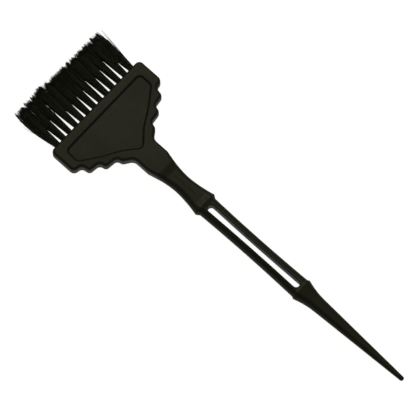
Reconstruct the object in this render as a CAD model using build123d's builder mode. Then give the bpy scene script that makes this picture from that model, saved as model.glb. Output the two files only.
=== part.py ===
from build123d import *

import os
from math import cos, radians, sin

# Wide tint brush for hair colour, lying on its back.
#
# The handle is one moulding: a flat head with a sunken panel on both faces and stepped finger grips, a thin
# waist, a collar, a slotted stem, a second collar and a pin tail. A row of bristle tufts stands in blind holes
# in the head's front face. Each tuft is a bundle folded in half round a flat wire anchor that bites into the
# hole's wall.
#
# Frame: +Y runs along the handle towards the bristle tips, +Z is up out of the face, and the origin is at the
# middle of the surface that the brush lies on. All sizes are in millimetres, and a depth is measured along the
# handle from the head's front face towards the tail.

# ------------------------------------------------------------------ bristle row
tuft_count = 13
tuft_hole_diameter = 3.4
tuft_wall = 1.1  # plastic between neighbouring holes
tuft_hole_depth = 8.0
tuft_fit = 0.05  # gap round a tuft's root in its hole, and under its fold
tuft_fold_round = 1.2
bristle_length = 26.0  # free length in front of the head
tuft_tip_inset = 0.9  # from the plane of each face to the tufts' tips
tuft_gap = 0.16  # left between neighbouring tufts where they have spread
tuft_spread_length = 11.0  # free length over which a tuft spreads to its full width
row_fan = 1.02  # how much wider the row is at its tips
tuft_tip_round = 0.6

# ------------------------------------------------------------------ anchors
anchor_wire = 0.35  # thickness of the flat wire
anchor_height = 1.8
anchor_bite = 0.3  # how far each end cuts into the hole's wall
anchor_bevel = 0.08
fold_height = 1.4  # bristles between the hole's floor and the anchor

# ------------------------------------------------------------------ head
thickness = 7.4  # of the head and of both collars, which rest on the table together
row_end_margin = 5.6  # from the last tuft's centre to the head's side
head_corner = 2.6
side_depth = 15.8  # from the front face to the side's lower corner
side_corner = 3.0
edge_round = 1.5  # all round both faces of the head

# Finger grips: a stair of rounded steps from the head's side in to the neck
grip_treads = (5.8, 7.1, 7.6)
grip_rises = (5.6, 4.7, 4.0)
grip_drop = 0.8  # how much each tread slopes towards the tail
grip_lean = 0.8  # how much each riser leans in
grip_bump = 2.2
grip_notch = 2.4
ledge_rise = 3.4  # from the last step in to the neck
neck_blend = 4.0
neck_width = 14.4
neck_length = 9.5

# Sunken panel, the same on both faces
panel_depth = 0.9
panel_draft = 50.0  # degrees, of the panel's sloping wall
panel_front_rim = 5.0
panel_side_rim = 5.0
panel_corner = 3.0
panel_corner_rise = 2.0  # from the side's lower corner up to the panel's
panel_flank = 3.4
panel_bow = 0.7  # how far the slanting side bows out
panel_bow_round = 25.0
panel_waist_out = 1.2  # from the neck's line out to the panel's kink
panel_waist_rise = 3.7  # and from the last grip up to it
panel_waist_blend = 8.0
panel_tip_drop = 0.2  # from the neck's corner down to the panel's pointed end
panel_tip = 3.4

# ------------------------------------------------------------------ waist and first collar
waist_length = 31.9  # shoulder to collar
waist_at = 16.3  # from the shoulder to the narrowest place
waist_width = 9.8
waist_curve = 1.8  # power of the side's curve: 2 is a parabola
waist_inset = 0.6  # how far each face of the waist lies below the head's
waist_sink_at = 4.5  # from the shoulder to where the faces start to sink
waist_sink = 5.0  # length over which they sink
collar_width = 13.9
collar_rise = 3.4  # length over which the faces come up again at the collar
waist_steps = 6  # lofted in each of the waist's four stretches
section_flat = 0.2  # flat left between the rounds of a fully rounded section
groove_length = 14.5
groove_width = 0.8
groove_depth = 0.3
groove_at = 18.2  # from the shoulder to the groove's middle
collar_foot = 1.9  # sloping length below the collar

# ------------------------------------------------------------------ stem and second collar
stem_length = 62.0  # between the two collars' feet
stem_width = 11.3
stem_middle_width = 10.4
stem_inset = 0.3  # how far each face of the stem lies below the collars'
stem_steps = 8
slot_width = 3.7
slot_middle_width = 3.2
slot_chamfer = 0.35
slot_wall = 0.5  # from each collar's foot to the slot
nick_radius = 0.7
nick_depth = 0.25
nick_at = 30.5  # from the collar's foot
tail_collar_width = 12.5
tail_collar_foot = 1.3  # sloping length above the second collar

# ------------------------------------------------------------------ pin tail
tail_length = 68.3  # second collar to the tip
tail_root_width = 9.1  # of the tail's straight taper, carried up to the collar
tail_root_inset = 0.35
tail_flare_length = 12.0  # below the collar
tail_flare_steps = 6
tail_tip_diameter = 2.5
tail_tip_steps = 5
tail_tip_turn = 80.0  # degrees that the rounded tip turns through before its small flat end

# ------------------------------------------------------------------ worked out
tuft_pitch = tuft_hole_diameter + tuft_wall
half_row = (tuft_count - 1) * tuft_pitch / 2
half_head = half_row + row_end_margin
half_neck = neck_width / 2
middle_z = thickness / 2
waist_thickness = thickness - 2 * waist_inset
stem_thickness = thickness - 2 * stem_inset
tail_root_thickness = thickness - 2 * tail_root_inset
tuft_tip_thickness = thickness - 2 * tuft_tip_inset

grips_depth = side_depth + sum(grip_rises)
neck_depth = grips_depth + ledge_rise
shoulder_depth = neck_depth + neck_length
collar_depth = shoulder_depth + waist_length
stem_depth = collar_depth + collar_foot
stem_end_depth = stem_depth + stem_length
tail_depth = stem_end_depth + tail_collar_foot
overall_length = bristle_length + tail_depth + tail_length
front_y = overall_length / 2 - bristle_length

tuft_radius = tuft_hole_diameter / 2 - tuft_fit
anchor_length = tuft_hole_diameter + 2 * anchor_bite
anchor_depth = tuft_hole_depth - fold_height - anchor_height / 2
anchor_plane = Plane.XY.offset(middle_z - anchor_wire / 2)
face_planes = (Plane.XY.offset(thickness), Plane(origin=(0, 0, 0), x_dir=(-1, 0, 0), z_dir=(0, 0, -1)))


def y_at(depth):
    return front_y - depth


def across(depth):
    """A plane across the handle, facing the tail, with its origin on the handle's centreline."""
    return Plane(origin=(0, y_at(depth), middle_z), x_dir=(1, 0, 0), z_dir=(0, -1, 0))


def tuft_x(index):
    return index * tuft_pitch - half_row


def ease(share):
    """0 to 1 with level ends."""
    share = min(max(share, 0.0), 1.0)
    return share * share * (3 - 2 * share)


def full_round(width, height):
    """The corner radius of a section rounded nearly to a stadium."""
    return min(width, height) / 2 - section_flat / 2


def loft_sections(sections):
    """Lofts rounded rectangles across the handle, each given as (depth, width, height, corner radius)."""
    faces = []
    for depth, width, height, radius in sections:
        with BuildSketch(across(depth)) as section:
            RectangleRounded(width, height, radius)
        faces.append(section.sketch.face())
    loft(faces)


def grip_corners():
    """Corners of the right side from the front face to the neck, as (x, depth, radius)."""
    x, depth = half_head, side_depth
    corners = [(x, 0.0, head_corner), (x, depth, side_corner)]
    for tread, rise in zip(grip_treads, grip_rises):
        x -= tread
        corners.append((x + grip_lean, depth + grip_drop, grip_notch))
        depth += rise
        corners.append((x, depth, grip_bump))
    corners.append((half_neck, neck_depth, neck_blend))
    return corners


def panel_corners():
    """Corners of the sunken panel's right side from the front rim to the kink, as (x, depth, radius)."""
    side = half_head - panel_side_rim
    flank_depth = side_depth - panel_corner_rise
    kink = half_neck + panel_waist_out
    kink_depth = grips_depth - panel_waist_rise
    return [
        (side, panel_front_rim, panel_corner),
        (side, flank_depth, panel_flank),
        ((side + kink) / 2, (flank_depth + kink_depth) / 2 + panel_bow, panel_bow_round),
        (kink, kink_depth, panel_waist_blend),
    ]


def mirrored(corners):
    """The same corners on the left side, in the order that carries on round the outline."""
    return [(-x, depth, radius) for x, depth, radius in reversed(corners)]


def points(corners):
    return [(x, y_at(depth)) for x, depth, radius in corners]


def radii(corners):
    return [radius for x, depth, radius in corners]


def waist_section(distance):
    """Section of the waist below the shoulder: its faces sink from the head's and rise to the collar's."""
    if distance < waist_at:
        end_width, share = neck_width, 1 - distance / waist_at
    else:
        end_width, share = collar_width, (distance - waist_at) / (waist_length - waist_at)
    width = waist_width + (end_width - waist_width) * share**waist_curve
    sunk = ease((distance - waist_sink_at) / waist_sink) * ease((waist_length - distance) / collar_rise)
    height = thickness - (thickness - waist_thickness) * sunk
    rounding = ease(2 * distance / waist_length)
    radius = edge_round + (full_round(width, height) - edge_round) * rounding
    return shoulder_depth + distance, width, height, radius


def stem_section(distance):
    """Section of the stem that far below the first collar's foot, narrowest half way."""
    from_middle = 2 * distance / stem_length - 1
    width = stem_middle_width + (stem_width - stem_middle_width) * from_middle**2
    return stem_depth + distance, width, stem_thickness, full_round(width, stem_thickness)


def tail_section(distance):
    """Section of the tail below the second collar: a straight taper, with a flare up to the collar."""
    taper = distance / (tail_length - tail_tip_diameter / 2)
    flare = max(1 - distance / tail_flare_length, 0.0) ** 2
    width = tail_root_width + (tail_tip_diameter - tail_root_width) * taper
    width += (tail_collar_width - tail_root_width) * flare
    height = tail_root_thickness + (tail_tip_diameter - tail_root_thickness) * taper
    height += (thickness - tail_root_thickness) * flare
    return tail_depth + distance, width, height, full_round(width, height)


def tip_section(turn):
    """Section of the tail's rounded tip where its side has turned through that many degrees."""
    radius = tail_tip_diameter / 2
    width = tail_tip_diameter * cos(radians(turn))
    depth = tail_depth + tail_length - radius * (1 - sin(radians(turn)))
    return depth, width, width, full_round(width, width)


def along(section, start, end, steps):
    """The sections at the ends of that many equal steps."""
    return [section(start + (end - start) * step / steps) for step in range(steps + 1)]


def slot_outline(plane, growth):
    """The stem's slot, a little narrower half way, with that much added all round."""
    start = y_at(stem_depth + slot_wall) + growth
    end = y_at(stem_end_depth - slot_wall) - growth
    radius = slot_width / 2 + growth
    middle = slot_middle_width / 2 + growth
    with BuildSketch(plane) as outline:
        with BuildLine():
            ThreePointArc((-radius, start - radius), (0, start), (radius, start - radius))
            ThreePointArc((radius, start - radius), (middle, (start + end) / 2), (radius, end + radius))
            ThreePointArc((radius, end + radius), (0, end), (-radius, end + radius))
            ThreePointArc((-radius, end + radius), (-middle, (start + end) / 2), (-radius, start - radius))
        make_face()
    return outline.sketch.face()


# ------------------------------------------------------------------ handle
with BuildPart() as handle:
    # Head plate, whose outline runs from the shoulder round the front and back to the shoulder
    right = grip_corners()
    corners = right[::-1] + mirrored(right[::-1])
    shoulder = [(half_neck, y_at(shoulder_depth)), (-half_neck, y_at(shoulder_depth))]
    with BuildSketch():
        with BuildLine():
            FilletPolyline(shoulder[0], *points(corners), shoulder[1], radius=radii(corners))
            Line(*shoulder)
        make_face()
    extrude(amount=thickness)
    rims = handle.faces().filter_by(Axis.Z).edges()
    shoulder_y = y_at(shoulder_depth) + section_flat
    fillet(rims.filter_by(lambda edge: edge.center().Y > shoulder_y), radius=edge_round)

    # Waist, first collar, stem, second collar and tail
    waist_joins = [0.0, waist_sink_at, waist_sink_at + waist_sink, waist_length - collar_rise, waist_length]
    for start, end in zip(waist_joins, waist_joins[1:]):
        loft_sections(along(waist_section, start, end, waist_steps))
    loft_sections([waist_section(waist_length), stem_section(0)])
    loft_sections(along(stem_section, 0, stem_length, stem_steps))
    loft_sections([stem_section(stem_length), tail_section(0)])
    loft_sections(along(tail_section, 0, tail_flare_length, tail_flare_steps))
    loft_sections([tail_section(tail_flare_length), tip_section(0)])
    loft_sections(along(tip_section, 0, tail_tip_turn, tail_tip_steps))

    # Sunken panel and waist groove in both faces
    right = panel_corners()
    corners = right + [(0.0, neck_depth + panel_tip_drop, panel_tip)] + mirrored(right)
    for face_plane in face_planes:
        with BuildSketch(face_plane):
            with BuildLine():
                FilletPolyline(*points(corners), radius=radii(corners), close=True)
            make_face()
        extrude(amount=-panel_depth, taper=panel_draft, mode=Mode.SUBTRACT)
        with BuildSketch(face_plane.offset(-waist_inset)):
            with Locations((0, y_at(shoulder_depth + groove_at))):
                SlotOverall(groove_length, groove_width, rotation=90)
        extrude(amount=-groove_depth, mode=Mode.SUBTRACT)

    # Slot through the stem, opened out at both faces by a chamfer
    slot = slot_outline(face_planes[0], 0)
    extrude(slot, amount=-thickness, mode=Mode.SUBTRACT)
    for face_plane in face_planes:
        stem_face = face_plane.offset(-stem_inset)
        wide = slot_outline(stem_face.offset(slot_chamfer), 2 * slot_chamfer)
        narrow = slot_outline(stem_face.offset(-slot_chamfer), 0)
        loft([wide, narrow], mode=Mode.SUBTRACT)

    # Nick in each side of the stem
    nick_x = stem_section(nick_at)[1] / 2 - nick_depth + nick_radius
    with BuildSketch():
        with Locations((nick_x, y_at(stem_depth + nick_at)), (-nick_x, y_at(stem_depth + nick_at))):
            Circle(nick_radius)
    extrude(amount=thickness, mode=Mode.SUBTRACT)

    # Tuft holes, with a slit on each side where the anchor bites
    with BuildSketch(across(0)):
        with GridLocations(tuft_pitch, 0, tuft_count, 1):
            Circle(tuft_hole_diameter / 2)
    extrude(amount=tuft_hole_depth, mode=Mode.SUBTRACT)
    with BuildSketch(anchor_plane):
        with Locations((0, y_at(anchor_depth))):
            with GridLocations(tuft_pitch, 0, tuft_count, 1):
                Rectangle(anchor_length, anchor_height)
    extrude(amount=anchor_wire, mode=Mode.SUBTRACT)

parts = {"handle": handle.part}

# ------------------------------------------------------------------ tufts and their anchors
for index in range(tuft_count):
    root_x = tuft_x(index)
    anchor_place = (root_x, y_at(anchor_depth))

    with BuildPart() as anchor:
        with BuildSketch(anchor_plane):
            with Locations(anchor_place):
                Rectangle(anchor_length, anchor_height)
        extrude(amount=anchor_wire)
        chamfer(anchor.edges().filter_by(Axis.Z), length=anchor_bevel)
    parts[f"anchor_{index + 1:02d}"] = anchor.part

    with BuildPart() as tuft:
        # Folded root in the hole
        with BuildSketch(across(0)):
            with Locations((root_x, 0)):
                Circle(tuft_radius)
        extrude(amount=tuft_hole_depth - tuft_fit)
        fillet(tuft.faces().sort_by(Axis.Y)[0].edges(), radius=tuft_fold_round)
        with BuildSketch(anchor_plane):
            with Locations(anchor_place):
                Rectangle(anchor_length, anchor_height)
        extrude(amount=anchor_wire, mode=Mode.SUBTRACT)

        # Free bristles, spreading until they nearly touch their neighbours, then fanning out with the row
        for reach in (0.0, tuft_spread_length, bristle_length):
            fan = 1 + (row_fan - 1) * reach / bristle_length
            spread = min(reach / tuft_spread_length, 1.0)
            full_width = tuft_pitch * fan - tuft_gap
            width = 2 * tuft_radius + (full_width - 2 * tuft_radius) * spread
            height = 2 * tuft_radius + (tuft_tip_thickness - 2 * tuft_radius) * reach / bristle_length
            with BuildSketch(across(-reach)):
                with Locations((root_x * fan, 0)):
                    Ellipse(width / 2, height / 2)
        loft(ruled=True)
        fillet(tuft.faces().sort_by(Axis.Y)[-1].edges(), radius=tuft_tip_round)
    parts[f"tuft_{index + 1:02d}"] = tuft.part

# ------------------------------------------------------------------ files
os.makedirs("parts", exist_ok=True)
for name, part in parts.items():
    part.label = name
    export_step(part, f"parts/{name}.step")
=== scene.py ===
"""Looks for the wide tint brush: a satin black handle, and tufts of black bristles.

Everything is in metres, in the part's own frame: +Y along the handle towards the bristle tips, +Z up.
"""

import math
import random

import bpy
from mathutils import Euler, Matrix, Vector


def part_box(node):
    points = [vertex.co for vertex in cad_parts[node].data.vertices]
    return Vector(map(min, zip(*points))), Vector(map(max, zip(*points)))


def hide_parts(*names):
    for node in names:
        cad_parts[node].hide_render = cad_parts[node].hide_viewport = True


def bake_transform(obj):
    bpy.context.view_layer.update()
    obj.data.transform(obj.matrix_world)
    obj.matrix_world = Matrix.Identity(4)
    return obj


MM = 0.001
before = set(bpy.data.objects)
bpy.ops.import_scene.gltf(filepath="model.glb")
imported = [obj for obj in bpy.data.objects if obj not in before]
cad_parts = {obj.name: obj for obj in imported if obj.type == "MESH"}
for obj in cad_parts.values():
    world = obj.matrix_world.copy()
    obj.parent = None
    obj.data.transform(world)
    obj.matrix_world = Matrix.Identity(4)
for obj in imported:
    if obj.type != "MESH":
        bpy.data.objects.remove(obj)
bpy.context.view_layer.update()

random.seed(13)

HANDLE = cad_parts["handle"]
ANCHORS = sorted(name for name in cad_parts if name.startswith("anchor_"))
TUFTS = sorted(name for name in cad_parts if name.startswith("tuft_"))
FRONT_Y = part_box("handle")[1].y
TIP_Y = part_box(TUFTS[0])[1].y
MIDDLE_Z = (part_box("handle")[0].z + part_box("handle")[1].z) / 2
BRISTLE_LENGTH = TIP_Y - FRONT_Y
ANCHOR_FOOT_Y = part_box(ANCHORS[0])[0].y
TUFT_PITCH = (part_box(ANCHORS[-1])[0].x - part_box(ANCHORS[0])[0].x) / (len(ANCHORS) - 1)


def deselect_all():
    for thing in bpy.context.selected_objects:
        thing.select_set(False)


# ------------------------------------------------------------------ materials
class Graph:
    """A material's nodes, made and joined in short lines. Patterns lie on Object coordinates, in metres."""

    def __init__(self, name):
        self.material = bpy.data.materials.new(name)
        self.material.use_nodes = True
        self.nodes = self.material.node_tree.nodes
        self.links = self.material.node_tree.links
        self.shader = self.nodes["Principled BSDF"]
        self.place = self.add("ShaderNodeTexCoord").outputs["Object"]

    def add(self, kind, links=(), **values):
        """A node with its values set, and each (input, output socket) pair of links joined."""
        node = self.nodes.new(kind)
        for key, value in values.items():
            setattr(node, key, value)
        for key, socket in links:
            self.links.new(socket, node.inputs[key])
        return node

    def noise(self, grain, stretch=(1, 1, 1), detail=2.0):
        """Noise whose grains are about that many metres across, longer along the axes that are stretched."""
        mapping = self.add("ShaderNodeMapping", [("Vector", self.place)])
        mapping.inputs["Scale"].default_value = [1 / (grain * factor) for factor in stretch]
        noise = self.add("ShaderNodeTexNoise", [("Vector", mapping.outputs["Vector"])])
        noise.inputs["Scale"].default_value = 1.0
        noise.inputs["Detail"].default_value = detail
        return noise.outputs["Fac"]

    def between(self, value, low, high, start=0.3, end=0.7):
        """The value's range from start to end, spread from low to high."""
        ramp = self.add("ShaderNodeMapRange", [("Value", value)])
        for key, number in zip(("From Min", "From Max", "To Min", "To Max"), (start, end, low, high)):
            ramp.inputs[key].default_value = number
        return ramp.outputs["Result"]

    def blend(self, share, first, second):
        """A colour between the two."""
        mix = self.add("ShaderNodeMix", data_type="RGBA")
        self.links.new(share, mix.inputs["Factor"])
        mix.inputs["A"].default_value = (*first, 1)
        mix.inputs["B"].default_value = (*second, 1)
        return mix.outputs["Result"]

    def more(self, first, second, operation="ADD"):
        return self.add("ShaderNodeMath", [(0, first), (1, second)], operation=operation).outputs["Value"]

    def raise_surface(self, height, distance, strength, under=None):
        links = [("Height", height)]
        if under:
            links.append(("Normal", under))
        bump = self.add("ShaderNodeBump", links)
        bump.inputs["Distance"].default_value = distance
        bump.inputs["Strength"].default_value = strength
        return bump.outputs["Normal"]

    def finish(self, colour, roughness, normal):
        self.links.new(colour, self.shader.inputs["Base Color"])
        self.links.new(roughness, self.shader.inputs["Roughness"])
        self.links.new(normal, self.shader.inputs["Normal"])
        return self.material


def moulded_plastic():
    """Black polypropylene off a lightly etched mould: cloudy, satin, with faint rubs along the handle."""
    graph = Graph("satin_black_polypropylene")
    clouds = graph.noise(16 * MM, (1, 1.6, 1), detail=3)
    mottle = graph.noise(1.4 * MM)
    etch = graph.noise(0.22 * MM, detail=3)
    orange_peel = graph.noise(2.6 * MM, detail=1)
    rubs = graph.between(graph.noise(0.35 * MM, (1, 40, 1), detail=1), 0, 1, 0.62, 0.7)
    tone = graph.more(graph.between(clouds, 0, 0.65), graph.between(mottle, 0, 0.35))
    colour = graph.blend(tone, (0.0105, 0.0100, 0.0066), (0.0165, 0.0156, 0.0104))
    satin = graph.more(graph.between(clouds, 0.36, 0.46), graph.between(mottle, -0.03, 0.03))
    roughness = graph.more(satin, graph.between(rubs, 0, 0.07, 0, 1))
    soft = graph.raise_surface(orange_peel, 0.05 * MM, 0.25)
    scratched = graph.raise_surface(rubs, 0.008 * MM, 0.3, soft)
    normal = graph.raise_surface(etch, 0.02 * MM, 0.35, scratched)
    graph.shader.inputs["IOR"].default_value = 1.49
    graph.shader.inputs["Specular IOR Level"].default_value = 0.4
    return graph.finish(colour, roughness, normal)


def bristle_nylon():
    """Black nylon: each filament its own shade and shine, with fine drawn lines along it."""
    graph = Graph("black_nylon_filament")
    strands = graph.noise(0.3 * MM, (1, 60, 1), detail=1)
    locks = graph.noise(1.5 * MM, (1, 8, 1), detail=2)
    drawn = graph.noise(0.05 * MM, (1, 30, 1), detail=2)
    tone = graph.more(graph.between(strands, 0, 0.6), graph.between(locks, 0, 0.4))
    colour = graph.blend(tone, (0.0032, 0.0036, 0.0022), (0.0078, 0.0088, 0.0054))
    roughness = graph.more(graph.between(strands, 0.3, 0.46), graph.between(locks, -0.04, 0.04))
    normal = graph.raise_surface(drawn, 0.01 * MM, 0.3)
    graph.shader.inputs["IOR"].default_value = 1.53
    return graph.finish(colour, roughness, normal)


def anchor_metal():
    """Flat brass wire, drawn along its length and a little tarnished."""
    graph = Graph("drawn_brass_wire")
    tarnish = graph.noise(0.9 * MM, detail=3)
    drawn = graph.noise(0.06 * MM, (20, 1, 1), detail=2)
    colour = graph.blend(graph.between(tarnish, 0, 1), (0.42, 0.29, 0.12), (0.66, 0.50, 0.24))
    roughness = graph.more(graph.between(tarnish, 0.42, 0.28), graph.between(drawn, 0, 0.08))
    graph.shader.inputs["Metallic"].default_value = 1.0
    return graph.finish(colour, roughness, graph.raise_surface(drawn, 0.01 * MM, 0.4))


def paint(thing, material):
    thing.data.materials.clear()
    thing.data.materials.append(material)


plastic = moulded_plastic()
nylon = bristle_nylon()
brass = anchor_metal()
for node_slot in HANDLE.material_slots:
    node_slot.material = plastic
for name in ANCHORS:
    for node_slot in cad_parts[name].material_slots:
        node_slot.material = brass
for name in TUFTS:
    for node_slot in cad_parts[name].material_slots:
        node_slot.material = nylon

# ------------------------------------------------------------------ bristles
FILAMENT_RADIUS = 0.11 * MM
FILAMENT_SIDES = 3
LEG_RINGS = 7  # on each leg, from the head's face to its tip
FOLD_RINGS = 4  # round the anchor
FILAMENT_RINGS = 2 * LEG_RINGS + FOLD_RINGS
FILAMENTS_PER_TUFT = 150
ROOT_RADIUS = 1.58 * MM  # of the bundle where it leaves its hole
FOLD_GAP = 0.25 * MM  # from the anchor's middle to the nearest filament
TIP_HALF_THICKNESS = 2.4 * MM
TIP_TAPER = 0.5  # share of the filament's thickness left at its tip
TAPER_START = 0.35  # share of the leg from its tip where it starts to thin

# How far in front of the head each parting between two tufts closes, from the lowest x to the highest
PARTING_LENGTHS = [reach * MM for reach in (12.3, 16.5, 11, 11, 13.3, 14, 14, 19.5, 14.9, 15.8, 19.5, 9.1)]
PARTING_TAPER = 0.9
OPEN_PARTING = 2  # this one closes only to a slit
OPEN_WIDTH = 0.6 * MM
MIXING = 0.7 * MM  # how far the bristles cross into the next tuft past the parting

# How far the row's two outer sides reach past the last tuft's centre: at the head, where widest, at the tips
OUTER_SIDES = {-1: (1.7 * MM, 3.7 * MM, 3.0 * MM), 1: (1.6 * MM, 2.9 * MM, 2.6 * MM)}
WIDEST_SHARE = 0.65

# The trimmed ends: a hump of longer bristles, and a slope that shortens them towards higher x
END_OFFSET = 0.1 * MM
HUMP_PLACE = -12.3 * MM
HUMP_WIDTH = 3.8 * MM
HUMP_HEIGHT = 1.5 * MM
END_SLOPE = 0.02

LOCKS_PER_FACE = 6  # the bristles of a tuft's face end in that many pointed locks
LOCK_JITTER = 0.08
LOCK_PULL = 0.12  # how far the tips close up on their lock's middle
LOCK_POINT = 1.1 * MM  # how much shorter a lock's sides are than its middle
LOCK_RAGGEDNESS = 0.45 * MM
TIP_RAGGEDNESS = 0.36 * MM
LEAN = 0.16 * MM  # spread of the tips' sideways lean
STRAY_SHARE = 0.03  # of the bristles, which lean and reach further
STRAY_LEAN = 0.9 * MM
STRAY_LENGTH = 1.3 * MM  # at most, past the others
FLYAWAY_SHARE = 0.09  # of the outer tufts' bristles on their outer side
FLYAWAY_LEAN = (0.4 * MM, 2.2 * MM)
FLYAWAY_LENGTH = (-7 * MM, 0)


def model_filament():
    """One straight filament along +Y, a unit long, with a ring of corners for each point of its line."""
    deselect_all()
    bpy.ops.mesh.primitive_cylinder_add(
        vertices=FILAMENT_SIDES,
        radius=FILAMENT_RADIUS,
        depth=1,
        location=(0, 0.5, 0),
        rotation=(-math.pi / 2, 0, 0),
    )
    filament = bpy.context.object
    filament.name = "filament"
    bpy.ops.object.transform_apply(location=True, rotation=True, scale=True)
    bpy.ops.object.mode_set(mode="EDIT")
    bpy.ops.mesh.select_mode(type="EDGE")
    bpy.ops.mesh.select_all(action="DESELECT")
    bpy.ops.object.mode_set(mode="OBJECT")
    corners = filament.data.vertices
    for edge in filament.data.edges:
        edge.select = abs(corners[edge.vertices[0]].co.y - corners[edge.vertices[1]].co.y) > 0.5
    bpy.ops.object.mode_set(mode="EDIT")
    bpy.ops.mesh.subdivide(number_cuts=FILAMENT_RINGS - 2)
    bpy.ops.object.mode_set(mode="OBJECT")
    bpy.ops.object.shade_smooth()
    return filament


def side_reach(index, side, height):
    """How far a tuft's bristles reach from its middle line on that side, that far in front of the head."""
    parting = index if side > 0 else index - 1
    if 0 <= parting < len(PARTING_LENGTHS):
        share = height / PARTING_LENGTHS[parting]
        closed = min(share, 1) ** PARTING_TAPER
        crossing = -OPEN_WIDTH / 2 if parting == OPEN_PARTING else MIXING * min(max(share - 1, 0), 1)
        return ROOT_RADIUS + (TUFT_PITCH / 2 - ROOT_RADIUS) * closed + crossing
    root, widest, tip = OUTER_SIDES[side]
    share = height / BRISTLE_LENGTH
    if share < WIDEST_SHARE:
        return root + (widest - root) * math.sin(share / WIDEST_SHARE * math.pi / 2)
    return widest + (tip - widest) * ((share - WIDEST_SHARE) / (1 - WIDEST_SHARE)) ** 2


def tip_reach(x):
    """Length of the bristles that stand at that x in the row."""
    hump = math.exp(-(((x - HUMP_PLACE) / HUMP_WIDTH) ** 2))
    return BRISTLE_LENGTH + END_OFFSET + HUMP_HEIGHT * hump - END_SLOPE * x


def even_spread(across):
    """The place across a tuft, from -1 to 1, that spreads a round bundle's bristles evenly."""
    return 2 / math.pi * (math.asin(across) + across * math.sqrt(1 - across**2))


def tuft_middle(index):
    return TUFT_PITCH * (index - (len(TUFTS) - 1) / 2)


def leg_line(index, across, up, lock, length, lean):
    """Points along one leg from the head's face to its tip, drawn towards the middle of its lock."""
    middle = tuft_middle(index)
    side = 1 if across > 0 else -1
    line = []
    for ring in range(LEG_RINGS):
        share = ring / (LEG_RINGS - 1)
        pull = LOCK_PULL * share**3
        reach = side_reach(index, side, length * share)
        half = ROOT_RADIUS + (TIP_HALF_THICKNESS - ROOT_RADIUS) * share
        spread = across + (even_spread(across) - across) * min(2 * share, 1)
        x = reach * (spread * (1 - pull) + lock["across"] * pull) + lean[0] * share**2
        z = half * (up * (1 - pull) + lock["up"] * pull) + lean[1] * share**2
        line.append(Vector((middle + x, FRONT_Y + length * share, MIDDLE_Z + z)))
    return line


def fold_line(index, across, up):
    """Points round the anchor's foot from one face's leg to the other's."""
    x = tuft_middle(index) + across * ROOT_RADIUS
    radius = up * ROOT_RADIUS
    line = []
    for ring in range(FOLD_RINGS):
        turn = math.pi * ring / (FOLD_RINGS - 1)
        line.append(Vector((x, ANCHOR_FOOT_Y - radius * math.sin(turn), MIDDLE_Z + radius * math.cos(turn))))
    return line


def folded_line(index, locks):
    """A filament's whole line: down one leg from its tip, round the anchor, and up the other leg."""
    spot = math.sqrt(random.random())
    turn = random.uniform(-math.pi / 2, math.pi / 2)
    across = spot * math.sin(turn)
    up = max(spot * math.cos(turn), FOLD_GAP / ROOT_RADIUS)
    middle = tuft_middle(index)
    legs = []
    for face in (1, -1):
        lock = min(locks[face], key=lambda each: abs(each["across"] - across))
        stray = random.random() < STRAY_SHARE
        spread = STRAY_LEAN if stray else LEAN
        lean = (random.gauss(0, spread), random.gauss(0, spread / 2))
        length = tip_reach(middle + across * TUFT_PITCH / 2) + lock["length"]
        length += random.gauss(0, TIP_RAGGEDNESS)
        length -= LOCK_POINT * min(abs(lock["across"] - across) * LOCKS_PER_FACE, 1)
        if stray:
            length += random.uniform(0, STRAY_LENGTH)
        outwards = {0: -1, len(TUFTS) - 1: 1}.get(index, 0)
        if outwards * across > 0 and random.random() < FLYAWAY_SHARE:
            lean = (outwards * random.uniform(*FLYAWAY_LEAN), lean[1])
            length += random.uniform(*FLYAWAY_LENGTH)
        legs.append(leg_line(index, across, face * up, lock, length, lean))
    return legs[0][::-1] + fold_line(index, across, up) + legs[1]


def bend_filament(mesh, line):
    """Lays a straight filament's rings along the line, thinner towards both tips."""
    last = len(line) - 1
    frames = []
    for ring, point in enumerate(line):
        along = (line[min(ring + 1, last)] - line[max(ring - 1, 0)]).normalized()
        sideways = Vector((1, 0, 0)) - along * along.x
        sideways.normalize()
        from_tip = min(ring, last - ring) / (LEG_RINGS - 1)
        thickness = TIP_TAPER + (1 - TIP_TAPER) * min(from_tip / TAPER_START, 1)
        frames.append((point, sideways * thickness, sideways.cross(along) * thickness))
    for vertex in mesh.vertices:
        point, sideways, upward = frames[round(vertex.co.y * last)]
        vertex.co = point + sideways * vertex.co.x + upward * vertex.co.z


def comb_locks():
    """The locks that a tuft's bristles gather into at their tips, on its upper and lower face."""
    locks = {1: [], -1: []}
    for face, row in locks.items():
        for number in range(LOCKS_PER_FACE):
            across = (2 * number + 1) / LOCKS_PER_FACE - 1 + random.gauss(0, LOCK_JITTER)
            up = face * random.uniform(0.2, 0.9)
            row.append({"across": across, "up": up, "length": random.gauss(0, LOCK_RAGGEDNESS)})
    return locks


def make_tuft(index, filament):
    locks = comb_locks()
    copies = []
    for _ in range(FILAMENTS_PER_TUFT):
        copy = filament.copy()
        copy.data = filament.data.copy()
        bend_filament(copy.data, folded_line(index, locks))
        bpy.context.scene.collection.objects.link(copy)
        copies.append(copy)
    deselect_all()
    for copy in copies:
        copy.select_set(True)
    bpy.context.view_layer.objects.active = copies[0]
    bpy.ops.object.join()
    tuft = bpy.context.object
    tuft.name = f"bristles_{index + 1:02d}"
    paint(tuft, nylon)
    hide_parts(TUFTS[index])
    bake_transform(tuft)


def make_bristles():
    filament = model_filament()
    for index in range(len(TUFTS)):
        make_tuft(index, filament)
    bpy.data.objects.remove(filament)


make_bristles()

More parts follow.
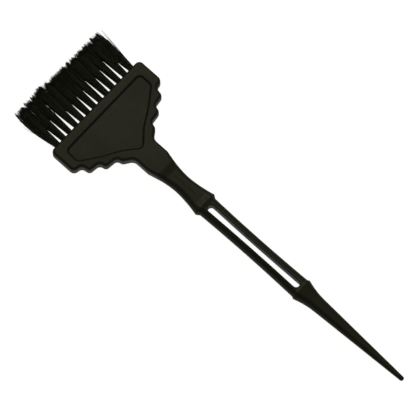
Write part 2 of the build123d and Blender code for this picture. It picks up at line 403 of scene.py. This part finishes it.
# ------------------------------------------------------------------ room: floor, lights and camera
STUDIO_COLOUR = (1.0, 0.97, 0.67)  # warm lamps over a neutral lit table
SKY_LEVEL = 0.1
FLOOR_SIZE = 6
FLOOR_GAP = 0.2 * MM  # clear of the brush's flat back
FLOOR_GREY = (0.3, 0.3, 0.3, 1)
TABLE_LEVEL = 0.32  # what the glossy sides see below them, dimmer than the table's own glow
HORIZON = 0.05
FLOOR_GLOW = 0.97  # the floor is a lit table, so that it stays pale under the brush
KEY_PLACE = (0.5, 0.6, 1.1)
KEY_SIZE = 0.8
KEY_POWER = 3.2


def make_floor():
    deselect_all()
    bpy.ops.mesh.primitive_plane_add(size=FLOOR_SIZE, location=(0, 0, -FLOOR_GAP))
    floor = bpy.context.object
    floor.name = "floor"
    graph = Graph("pale_floor")
    graph.shader.inputs["Base Color"].default_value = FLOOR_GREY
    graph.shader.inputs["Roughness"].default_value = 0.9
    graph.shader.inputs["Emission Color"].default_value = (1, 1, 1, 1)
    graph.shader.inputs["Emission Strength"].default_value = FLOOR_GLOW
    paint(floor, graph.material)
    floor.visible_glossy = False  # or the sides would mirror it too brightly


def make_softbox(name, place, aim, size, power):
    light = bpy.data.lights.new(name, "AREA")
    light.shape = "SQUARE"
    light.size = size
    light.energy = power
    light.color = STUDIO_COLOUR
    lamp = bpy.data.objects.new(name, light)
    bpy.context.scene.collection.objects.link(lamp)
    lamp.location = place
    lamp.rotation_euler = (Vector(aim) - Vector(place)).to_track_quat("-Z", "Y").to_euler()


def make_surroundings():
    """A dim warm room above the horizon, and the table's light below it."""
    world = bpy.data.worlds.new("studio")
    bpy.context.scene.world = world
    world.use_nodes = True
    nodes, links = world.node_tree.nodes, world.node_tree.links
    split = nodes.new("ShaderNodeSeparateXYZ")
    links.new(nodes.new("ShaderNodeTexCoord").outputs["Generated"], split.inputs["Vector"])
    rise = nodes.new("ShaderNodeMapRange")
    rise.inputs["From Min"].default_value = -HORIZON
    rise.inputs["From Max"].default_value = HORIZON
    links.new(split.outputs["Z"], rise.inputs["Value"])
    mix = nodes.new("ShaderNodeMix")
    mix.data_type = "RGBA"
    mix.inputs["A"].default_value = (TABLE_LEVEL, TABLE_LEVEL, TABLE_LEVEL, 1)
    mix.inputs["B"].default_value = (*(SKY_LEVEL * channel for channel in STUDIO_COLOUR), 1)
    links.new(rise.outputs["Result"], mix.inputs["Factor"])
    links.new(mix.outputs["Result"], nodes["Background"].inputs["Color"])


def make_room():
    make_floor()
    make_surroundings()
    make_softbox("key", KEY_PLACE, (0, 0, 0), KEY_SIZE, KEY_POWER)
    bpy.context.scene.view_settings.view_transform = "Standard"


CAMERA_AZIMUTH = -45.70  # degrees from looking along +Y
CAMERA_ELEVATION = 74.44
CAMERA_ROLL = -1.74
CAMERA_DISTANCE = 3.63
CAMERA_LENS = 624.5  # a long lens, nearly without perspective
CAMERA_AIM = Vector((-0.00076, 0.01217, 0.00571))


def make_camera():
    azimuth = math.radians(CAMERA_AZIMUTH)
    tilt = math.radians(90 - CAMERA_ELEVATION)
    turn = Euler((tilt, 0, azimuth)).to_matrix() @ Matrix.Rotation(math.radians(CAMERA_ROLL), 3, "Z")
    data = bpy.data.cameras.new("camera")
    data.lens = CAMERA_LENS
    data.clip_end = 20
    camera = bpy.data.objects.new("camera", data)
    bpy.context.scene.collection.objects.link(camera)
    place = CAMERA_AIM + turn @ Vector((0, 0, CAMERA_DISTANCE))
    camera.matrix_world = Matrix.Translation(place) @ turn.to_4x4()
    bpy.context.scene.camera = camera


make_room()
make_camera()
